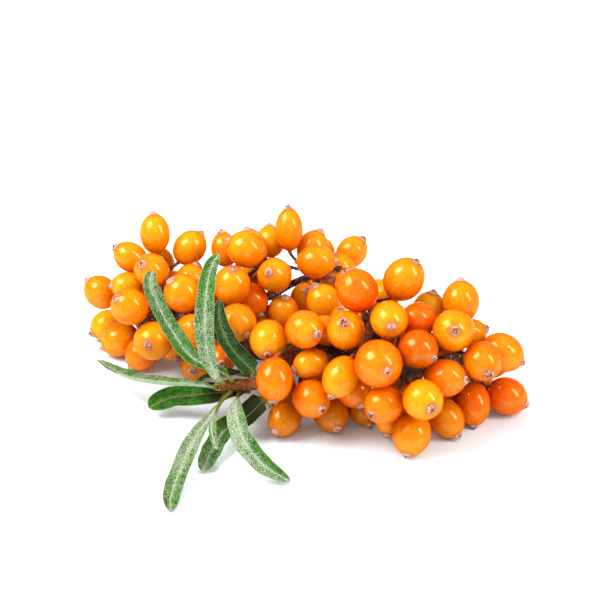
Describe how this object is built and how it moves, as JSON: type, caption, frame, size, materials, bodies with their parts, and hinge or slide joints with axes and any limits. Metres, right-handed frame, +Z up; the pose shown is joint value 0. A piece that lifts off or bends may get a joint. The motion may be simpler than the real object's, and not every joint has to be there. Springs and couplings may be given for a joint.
{
  "type": "sea buckthorn sprig",
  "caption": "Forked woody fruit sprig lying down, thick with small glossy orange berries, with one tuft of narrow silvery green leaves.",
  "frame": {"origin": "on the surface that the sprig lies on, under the middle of its bounding box", "axes": "+X along the sprig from its cut end to its tip, +Z up, -Y towards the side with the leaves"},
  "size_m": [0.093, 0.082, 0.0358],
  "materials": {
    "bark": "matte",
    "red_bark": "matte",
    "shoot_bark": "satin",
    "bud": "satin",
    "leaf": "satin",
    "berry": "gloss"
  },
  "bodies": {
    "root": {"main_stem": "bark", "back_branch": "bark", "side_twig": "red_bark", "left_side_twig": "bark", "back_side_twig": "bark", "leafy_shoot": "shoot_bark", "end_bud": "bud", "leaf_left_tall": "leaf", "leaf_middle_tall": "leaf", "leaf_shaded": "leaf", "leaf_left_level": "leaf", "leaf_left_low": "leaf", "leaf_front_long": "leaf", "leaf_small_curled": "leaf", "leaf_front_under": "leaf", "leaf_front_right": "leaf", "leaf_behind_shoot": "leaf", "back_left_berries_01": "berry", "back_left_berries_02": "berry", "back_left_berries_03": "berry", "back_left_berries_04": "berry", "back_left_berries_05": "berry", "back_left_berries_06": "berry", "back_left_berries_07": "berry", "back_left_berries_08": "berry", "back_left_berries_09": "berry", "front_berries_01": "berry", "front_berries_02": "berry", "front_berries_03": "berry", "front_berries_04": "berry", "front_berries_05": "berry", "front_berries_06": "berry", "front_berries_07": "berry", "front_berries_08": "berry", "front_berries_09": "berry", "front_berries_10": "berry", "front_berries_11": "berry", "front_berries_12": "berry", "front_berries_13": "berry", "front_berries_14": "berry", "front_berries_15": "berry", "back_right_berries_01": "berry", "back_right_berries_02": "berry", "back_right_berries_03": "berry", "back_right_berries_04": "berry", "back_right_berries_05": "berry", "back_right_berries_06": "berry", "left_top_berries_01": "berry", "left_top_berries_02": "berry", "back_top_berries_01": "berry", "side_twig_berries_01": "berry", "side_twig_berries_02": "berry", "side_twig_berries_03": "berry"}
  },
  "joints": []
}
